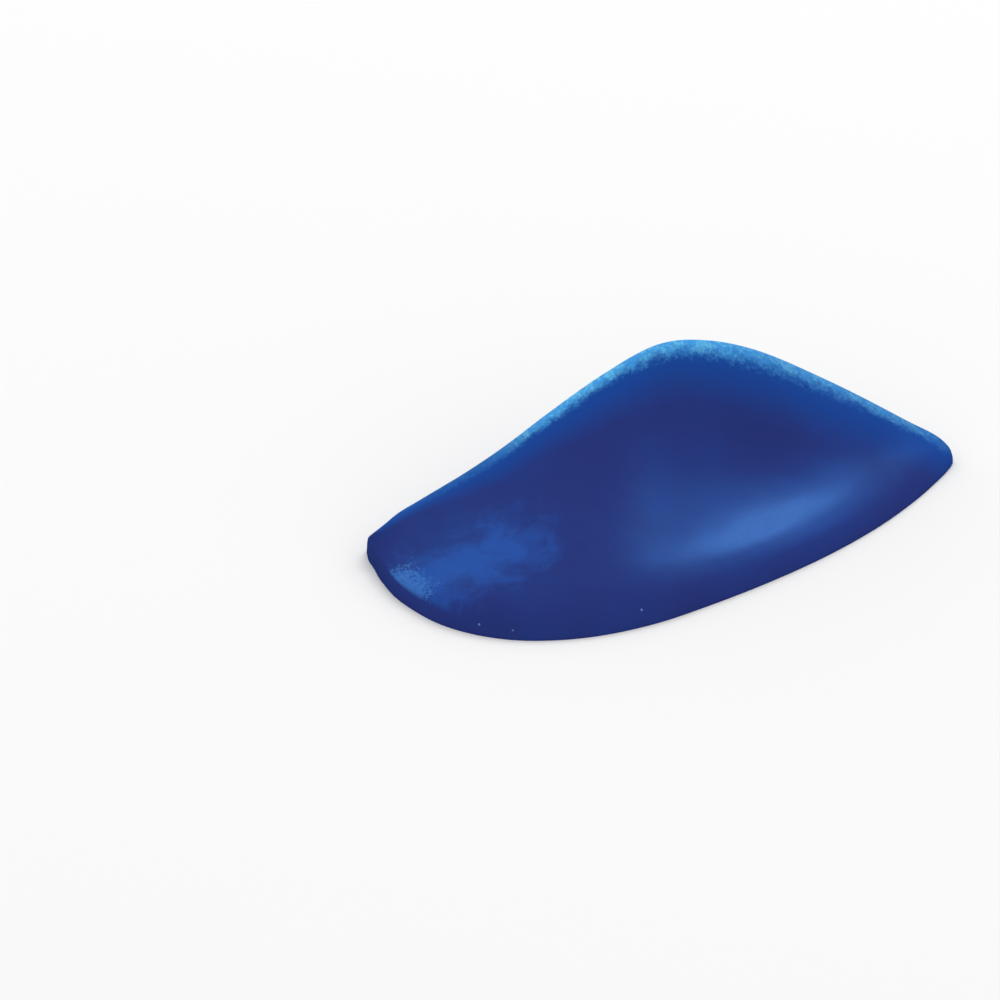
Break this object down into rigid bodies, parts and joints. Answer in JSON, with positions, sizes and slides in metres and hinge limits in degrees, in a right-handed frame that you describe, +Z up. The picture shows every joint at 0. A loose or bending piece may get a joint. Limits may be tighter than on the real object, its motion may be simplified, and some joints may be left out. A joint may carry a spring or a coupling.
{
  "type": "scaphoid pad",
  "caption": "Moulded arch pad: a gently sloping outer flange sweeps up into a dished wall with a raised inner rim, so that it fills the inner arch of a foot inside a shoe.",
  "frame": {"origin": "centre of the pad's box, on the flat base", "axes": "+X from the wide end to the narrow end, +Y towards the raised inner rim, +Z up from the flat base"},
  "size_m": [0.1118, 0.0512, 0.0284],
  "materials": {
    "blue_foam_rubber": "satin moulded foam rubber with a fine grain, ultramarine blue all through"
  },
  "bodies": {
    "root": {"pad_body": "blue_foam_rubber"}
  },
  "joints": []
}
